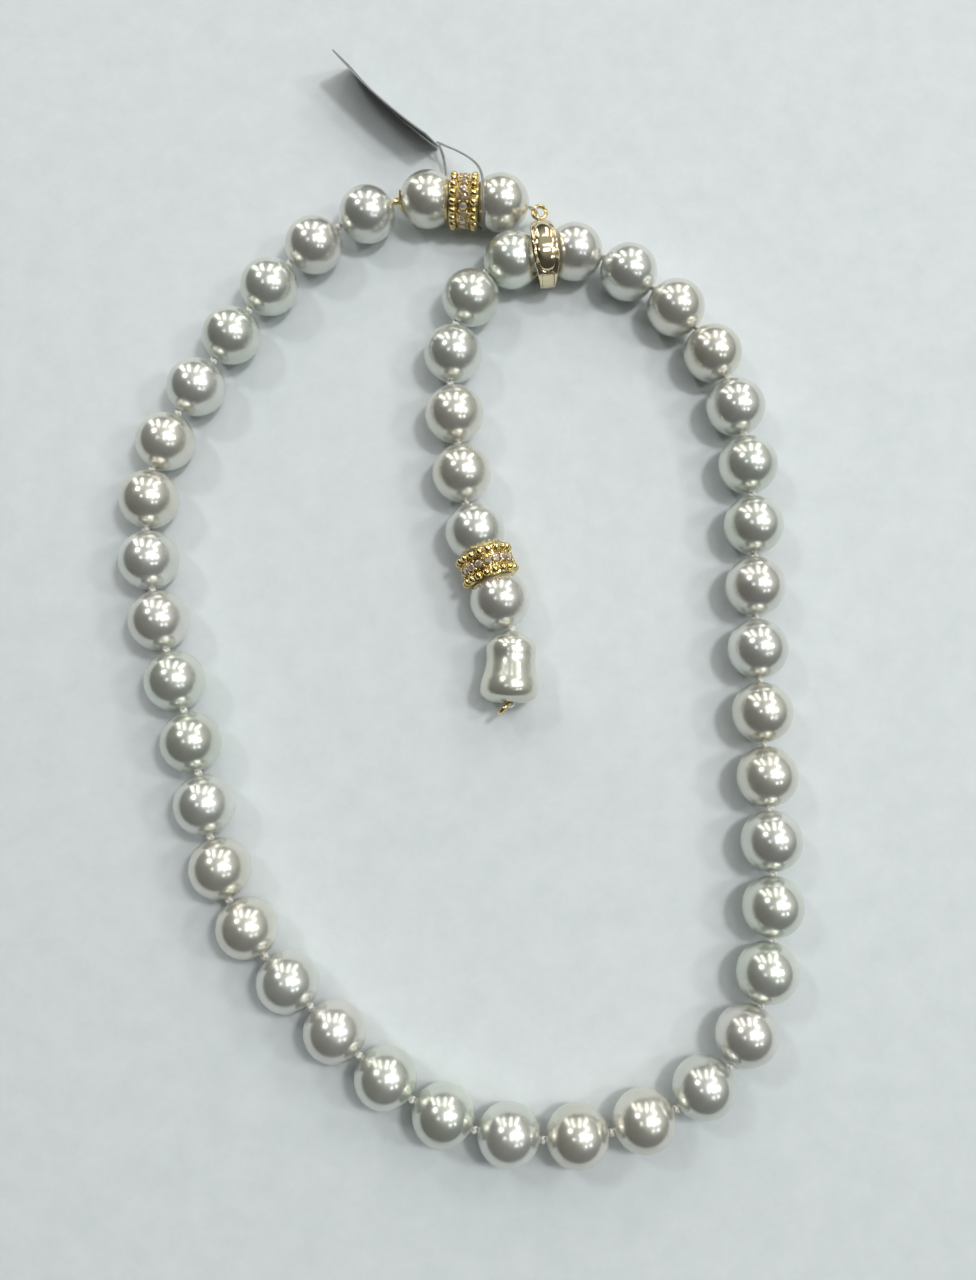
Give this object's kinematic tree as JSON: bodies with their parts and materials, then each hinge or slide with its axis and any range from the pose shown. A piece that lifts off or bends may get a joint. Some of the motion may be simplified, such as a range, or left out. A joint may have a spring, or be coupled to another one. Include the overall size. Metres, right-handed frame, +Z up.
{
  "type": "pearl necklace",
  "caption": "Knotted pearl strand closed into a loop by a hinged oval clasp, with a hanging end carrying a pave rondelle and a baroque pearl.",
  "frame": {"origin": "middle of the underside of the whole necklace as it lies on a table, tag included", "axes": "+Z up from the table; +Y from the foot of the loop towards the clasp and the tag; +X across the loop, to the side where the strand enters the clasp"},
  "size_m": [0.1364, 0.2292, 0.0134],
  "materials": {
    "pearl": "silver-white nacre, high lustre",
    "silk": "twisted white silk",
    "yellow_gold": "polished yellow gold",
    "rose_gold": "polished pale rose gold",
    "stones": "faceted, clear with a faint champagne tint",
    "tag": "coated dark grey face, pale edge",
    "strap": "thin translucent grey loop"
  },
  "bodies": {
    "strand": {"clasp_back": "rose_gold", "clasp_pin": "rose_gold", "silk_thread": "silk", "pearl_08": "pearl", "pearl_20": "pearl", "pearl_30": "pearl"},
    "clasp_lid": {"clasp_front": "rose_gold"},
    "end_ring": {"end_ring": "yellow_gold"},
    "pearl_01": {"pearl_01": "pearl"},
    "rondelle_top": {"rondelle_top": "yellow_gold", "rondelle_top_stones": "stones", "tag_strap": "strap"},
    "pearl_02": {"pearl_02": "pearl", "bead_cap": "yellow_gold"},
    "pearl_03": {"pearl_03": "pearl"},
    "pearl_04": {"pearl_04": "pearl"},
    "pearl_05": {"pearl_05": "pearl"},
    "pearl_06": {"pearl_06": "pearl"},
    "pearl_07": {"pearl_07": "pearl"},
    "pearl_09": {"pearl_09": "pearl"},
    "pearl_10": {"pearl_10": "pearl"},
    "pearl_11": {"pearl_11": "pearl"},
    "pearl_12": {"pearl_12": "pearl"},
    "pearl_13": {"pearl_13": "pearl"},
    "pearl_14": {"pearl_14": "pearl"},
    "pearl_15": {"pearl_15": "pearl"},
    "pearl_16": {"pearl_16": "pearl"},
    "pearl_17": {"pearl_17": "pearl"},
    "pearl_18": {"pearl_18": "pearl"},
    "pearl_19": {"pearl_19": "pearl"},
    "pearl_21": {"pearl_21": "pearl"},
    "pearl_22": {"pearl_22": "pearl"},
    "pearl_23": {"pearl_23": "pearl"},
    "pearl_24": {"pearl_24": "pearl"},
    "pearl_25": {"pearl_25": "pearl"},
    "pearl_26": {"pearl_26": "pearl"},
    "pearl_27": {"pearl_27": "pearl"},
    "pearl_28": {"pearl_28": "pearl"},
    "pearl_29": {"pearl_29": "pearl"},
    "pearl_31": {"pearl_31": "pearl"},
    "pearl_32": {"pearl_32": "pearl"},
    "pearl_33": {"pearl_33": "pearl"},
    "pearl_34": {"pearl_34": "pearl"},
    "pearl_35": {"pearl_35": "pearl"},
    "pearl_36": {"pearl_36": "pearl"},
    "pearl_37": {"pearl_37": "pearl"},
    "pearl_38": {"pearl_38": "pearl"},
    "pearl_39": {"pearl_39": "pearl"},
    "pearl_40": {"pearl_40": "pearl"},
    "pearl_41": {"pearl_41": "pearl"},
    "pearl_42": {"pearl_42": "pearl"},
    "pearl_43": {"pearl_43": "pearl"},
    "pearl_44": {"pearl_44": "pearl"},
    "pearl_45": {"pearl_45": "pearl"},
    "pearl_46": {"pearl_46": "pearl"},
    "rondelle_drop": {"rondelle_drop": "yellow_gold", "rondelle_drop_stones": "stones"},
    "baroque": {"baroque_pearl": "pearl"},
    "drop_ring": {"drop_ring": "yellow_gold"},
    "swing_tag": {"swing_tag": "tag"}
  },
  "joints": [
    {"name": "lid_hinge", "type": "hinge", "parent": "strand", "child": "clasp_lid", "pos_m": [0.0174, 0.07332, 0.00662], "axis": [-0.9895, -0.1443, 0], "range_deg": [0, 50]},
    {"name": "ring_swing", "type": "hinge", "parent": "strand", "child": "end_ring", "pos_m": [0.01711, 0.07534, 0.00662], "axis": [0, 0, 1], "range_deg": [-3.05, 3.05]},
    {"name": "knot_00", "type": "hinge", "parent": "end_ring", "child": "pearl_01", "pos_m": [0.01525, 0.07804, 0.00662], "axis": [0, 0, 1], "range_deg": [-0.068, 0.068]},
    {"name": "seat_01", "type": "hinge", "parent": "pearl_01", "child": "rondelle_top", "pos_m": [0.00932, 0.07896, 0.00664], "axis": [0, 0, 1], "range_deg": [-0.345, 0.345]},
    {"name": "seat_02", "type": "hinge", "parent": "rondelle_top", "child": "pearl_02", "pos_m": [-0.00607, 0.0797, 0.00648], "axis": [0, 0, 1], "range_deg": [-0.84, 0.84]},
    {"name": "knot_02", "type": "hinge", "parent": "pearl_02", "child": "pearl_03", "pos_m": [-0.0128, 0.07932, 0.0063], "axis": [0, 0, 1], "range_deg": [-7.04, 7.04]},
    {"name": "knot_07", "type": "hinge", "parent": "strand", "child": "pearl_07", "pos_m": [-0.05696, 0.0327, 0.00602], "axis": [0, 0, 1], "range_deg": [-5.9, 5.9]},
    {"name": "knot_06", "type": "hinge", "parent": "pearl_07", "child": "pearl_06", "pos_m": [-0.05018, 0.04397, 0.00602], "axis": [0, 0, 1], "range_deg": [-2.12, 2.12]},
    {"name": "knot_05", "type": "hinge", "parent": "pearl_06", "child": "pearl_05", "pos_m": [-0.04324, 0.05514, 0.00602], "axis": [0, 0, 1], "range_deg": [-6.47, 6.47]},
    {"name": "knot_04", "type": "hinge", "parent": "pearl_05", "child": "pearl_04", "pos_m": [-0.03513, 0.06549, 0.00602], "axis": [0, 0, 1], "range_deg": [-4.62, 4.62]},
    {"name": "knot_08", "type": "hinge", "parent": "strand", "child": "pearl_09", "pos_m": [-0.06181, 0.02072, 0.00602], "axis": [0, 0, 1], "range_deg": [-3.2, 3.2], "deforming": ["silk_thread"]},
    {"name": "knot_09", "type": "hinge", "parent": "pearl_09", "child": "pearl_10", "pos_m": [-0.06257, 0.00805, 0.00602], "axis": [0, 0, 1], "range_deg": [-1.55, 1.55]},
    {"name": "knot_10", "type": "hinge", "parent": "pearl_10", "child": "pearl_11", "pos_m": [-0.06079, -0.00453, 0.00602], "axis": [0, 0, 1], "range_deg": [-0.99, 0.99]},
    {"name": "knot_11", "type": "hinge", "parent": "pearl_11", "child": "pearl_12", "pos_m": [-0.05743, -0.01678, 0.00602], "axis": [0, 0, 1], "range_deg": [-3.07, 3.07]},
    {"name": "knot_12", "type": "hinge", "parent": "pearl_12", "child": "pearl_13", "pos_m": [-0.05341, -0.02882, 0.00602], "axis": [0, 0, 1], "range_deg": [-3.9, 3.9]},
    {"name": "knot_13", "type": "hinge", "parent": "pearl_13", "child": "pearl_14", "pos_m": [-0.05001, -0.04106, 0.00602], "axis": [0, 0, 1], "range_deg": [-2.79, 2.79]},
    {"name": "knot_19", "type": "hinge", "parent": "strand", "child": "pearl_19", "pos_m": [-0.0072, -0.10234, 0.00602], "axis": [0, 0, 1], "range_deg": [-2.71, 2.71]},
    {"name": "knot_18", "type": "hinge", "parent": "pearl_19", "child": "pearl_18", "pos_m": [-0.01742, -0.09436, 0.00602], "axis": [0, 0, 1], "range_deg": [-0.354, 0.354]},
    {"name": "knot_17", "type": "hinge", "parent": "pearl_18", "child": "pearl_17", "pos_m": [-0.02685, -0.08544, 0.00602], "axis": [0, 0, 1], "range_deg": [-2.34, 2.34]},
    {"name": "knot_16", "type": "hinge", "parent": "pearl_17", "child": "pearl_16", "pos_m": [-0.0358, -0.07605, 0.00602], "axis": [0, 0, 1], "range_deg": [-3.33, 3.33]},
    {"name": "knot_15", "type": "hinge", "parent": "pearl_16", "child": "pearl_15", "pos_m": [-0.04301, -0.06544, 0.00602], "axis": [0, 0, 1], "range_deg": [-2.55, 2.55]},
    {"name": "knot_20", "type": "hinge", "parent": "strand", "child": "pearl_21", "pos_m": [0.00462, -0.10767, 0.00602], "axis": [0, 0, 1], "range_deg": [-4.93, 4.93]},
    {"name": "knot_21", "type": "hinge", "parent": "pearl_21", "child": "pearl_22", "pos_m": [0.01748, -0.10935, 0.00602], "axis": [0, 0, 1], "range_deg": [-1.11, 1.11]},
    {"name": "knot_22", "type": "hinge", "parent": "pearl_22", "child": "pearl_23", "pos_m": [0.03038, -0.108, 0.00602], "axis": [0, 0, 1], "range_deg": [-4.5, 4.5]},
    {"name": "knot_23", "type": "hinge", "parent": "pearl_23", "child": "pearl_24", "pos_m": [0.04264, -0.10378, 0.00602], "axis": [0, 0, 1], "range_deg": [-4.46, 4.46]},
    {"name": "knot_24", "type": "hinge", "parent": "pearl_24", "child": "pearl_25", "pos_m": [0.05307, -0.09606, 0.00602], "axis": [0, 0, 1], "range_deg": [-1.22, 1.22]},
    {"name": "knot_29", "type": "hinge", "parent": "strand", "child": "pearl_29", "pos_m": [0.0615, -0.03513, 0.00602], "axis": [0, 0, 1], "range_deg": [-5, 5]},
    {"name": "knot_28", "type": "hinge", "parent": "pearl_29", "child": "pearl_28", "pos_m": [0.06203, -0.04771, 0.00602], "axis": [0, 0, 1], "range_deg": [-0.063, 0.063]},
    {"name": "knot_27", "type": "hinge", "parent": "pearl_28", "child": "pearl_27", "pos_m": [0.06234, -0.06021, 0.00602], "axis": [0, 0, 1], "range_deg": [-3.84, 3.84]},
    {"name": "knot_26", "type": "hinge", "parent": "pearl_27", "child": "pearl_26", "pos_m": [0.06179, -0.0727, 0.00602], "axis": [0, 0, 1], "range_deg": [-4.99, 4.99]},
    {"name": "knot_30", "type": "hinge", "parent": "strand", "child": "pearl_31", "pos_m": [0.06094, -0.02244, 0.00602], "axis": [0, 0, 1], "range_deg": [-4.9, 4.9]},
    {"name": "knot_31", "type": "hinge", "parent": "pearl_31", "child": "pearl_32", "pos_m": [0.06055, -0.00974, 0.00602], "axis": [0, 0, 1], "range_deg": [-0.176, 0.176]},
    {"name": "knot_32", "type": "hinge", "parent": "pearl_32", "child": "pearl_33", "pos_m": [0.06074, 0.00296, 0.00602], "axis": [0, 0, 1], "range_deg": [-3.49, 3.49]},
    {"name": "knot_33", "type": "hinge", "parent": "pearl_33", "child": "pearl_34", "pos_m": [0.06064, 0.01565, 0.00602], "axis": [0, 0, 1], "range_deg": [-4.63, 4.63]},
    {"name": "knot_34", "type": "hinge", "parent": "pearl_34", "child": "pearl_35", "pos_m": [0.05925, 0.0282, 0.00602], "axis": [0, 0, 1], "range_deg": [-3.14, 3.14]},
    {"name": "thread_39", "type": "hinge", "parent": "strand", "child": "pearl_39", "pos_m": [0.01798, 0.06938, 0.00602], "axis": [0, 0, 1], "range_deg": [-3.99, 3.99]},
    {"name": "knot_38", "type": "hinge", "parent": "pearl_39", "child": "pearl_38", "pos_m": [0.03097, 0.06718, 0.00602], "axis": [0, 0, 1], "range_deg": [-2.11, 2.11]},
    {"name": "knot_37", "type": "hinge", "parent": "pearl_38", "child": "pearl_37", "pos_m": [0.04147, 0.0603, 0.00602], "axis": [0, 0, 1], "range_deg": [-4.06, 4.06]},
    {"name": "knot_36", "type": "hinge", "parent": "pearl_37", "child": "pearl_36", "pos_m": [0.05037, 0.05146, 0.00602], "axis": [0, 0, 1], "range_deg": [-3.36, 3.36]},
    {"name": "thread_40", "type": "hinge", "parent": "strand", "child": "pearl_40", "pos_m": [0.01798, 0.06938, 0.00602], "axis": [0, 0, -1], "range_deg": [-3, 3]},
    {"name": "knot_40", "type": "hinge", "parent": "pearl_40", "child": "pearl_41", "pos_m": [0.00609, 0.06353, 0.00602], "axis": [0, 0, 1], "range_deg": [-14, 1.5]},
    {"name": "knot_41", "type": "hinge", "parent": "pearl_41", "child": "pearl_42", "pos_m": [-0.00005, 0.05218, 0.00602], "axis": [0, 0, -1], "range_deg": [-12, 18]},
    {"name": "knot_42", "type": "hinge", "parent": "pearl_42", "child": "pearl_43", "pos_m": [-0.001, 0.03912, 0.00602], "axis": [0, 0, 1], "range_deg": [-20, 16]},
    {"name": "knot_43", "type": "hinge", "parent": "pearl_43", "child": "pearl_44", "pos_m": [0.00061, 0.02632, 0.00602], "axis": [0, 0, -1], "range_deg": [-20, 22]},
    {"name": "knot_44", "type": "hinge", "parent": "pearl_44", "child": "pearl_45", "pos_m": [0.00229, 0.01373, 0.00602], "axis": [0, 0, 1], "range_deg": [-25, 22]},
    {"name": "seat_45", "type": "hinge", "parent": "pearl_45", "child": "rondelle_drop", "pos_m": [0.00418, 0.00767, 0.00602], "axis": [0, 0, 1], "range_deg": [-3, 3]},
    {"name": "seat_46", "type": "hinge", "parent": "rondelle_drop", "child": "pearl_46", "pos_m": [0.00919, -0.00635, 0.00602], "axis": [0, 0, 1], "range_deg": [-3, 3]},
    {"name": "knot_46", "type": "hinge", "parent": "pearl_46", "child": "baroque", "pos_m": [0.01158, -0.01224, 0.00602], "axis": [0, 0, -1], "range_deg": [-19, 15]},
    {"name": "drop_ring_swing", "type": "hinge", "parent": "baroque", "child": "drop_ring", "pos_m": [0.01113, -0.02708, 0.00602], "axis": [0, 0, 1], "range_deg": [-15, 15]},
    {"name": "tag_swing", "type": "hinge", "parent": "rondelle_top", "child": "swing_tag", "pos_m": [-0.00384, 0.09514, 0.00002], "axis": [0, 0, 1], "range_deg": [-20, 15], "deforming": ["tag_strap"]}
  ],
  "couplings": [
    {"joint": "ring_swing", "follows": "knot_07", "ratio": 0.476},
    {"joint": "knot_00", "follows": "knot_07", "ratio": -0.0075},
    {"joint": "seat_01", "follows": "knot_07", "ratio": -0.051},
    {"joint": "seat_02", "follows": "knot_07", "ratio": -0.1293},
    {"joint": "knot_02", "follows": "knot_07", "ratio": -1.1009},
    {"joint": "knot_06", "follows": "knot_07", "ratio": -0.3291},
    {"joint": "knot_05", "follows": "knot_07", "ratio": -1.0125},
    {"joint": "knot_04", "follows": "knot_07", "ratio": -0.7211},
    {"joint": "knot_09", "follows": "knot_08", "ratio": 0.4438},
    {"joint": "knot_10", "follows": "knot_08", "ratio": -0.2814},
    {"joint": "knot_11", "follows": "knot_08", "ratio": -0.8832},
    {"joint": "knot_12", "follows": "knot_08", "ratio": -1.1213},
    {"joint": "knot_13", "follows": "knot_08", "ratio": -0.8018},
    {"joint": "knot_19", "follows": "knot_08", "ratio": 0.7787},
    {"joint": "knot_18", "follows": "knot_08", "ratio": -0.0965},
    {"joint": "knot_17", "follows": "knot_08", "ratio": -0.6712},
    {"joint": "knot_16", "follows": "knot_08", "ratio": -0.9563},
    {"joint": "knot_15", "follows": "knot_08", "ratio": -0.7331},
    {"joint": "knot_20", "follows": "knot_29", "ratio": 0.91},
    {"joint": "knot_21", "follows": "knot_29", "ratio": -0.2022},
    {"joint": "knot_22", "follows": "knot_29", "ratio": -0.8298},
    {"joint": "knot_23", "follows": "knot_29", "ratio": -0.8227},
    {"joint": "knot_24", "follows": "knot_29", "ratio": -0.2229},
    {"joint": "knot_28", "follows": "knot_29", "ratio": 0.0079},
    {"joint": "knot_27", "follows": "knot_29", "ratio": -0.7071},
    {"joint": "knot_26", "follows": "knot_29", "ratio": -0.9201},
    {"joint": "knot_31", "follows": "knot_30", "ratio": 0.0295},
    {"joint": "knot_32", "follows": "knot_30", "ratio": -0.6553},
    {"joint": "knot_33", "follows": "knot_30", "ratio": -0.8719},
    {"joint": "knot_34", "follows": "knot_30", "ratio": -0.5897},
    {"joint": "thread_39", "follows": "knot_30", "ratio": 0.7494},
    {"joint": "knot_38", "follows": "knot_30", "ratio": -0.3946},
    {"joint": "knot_37", "follows": "knot_30", "ratio": -0.7627},
    {"joint": "knot_36", "follows": "knot_30", "ratio": -0.6313}
  ]
}
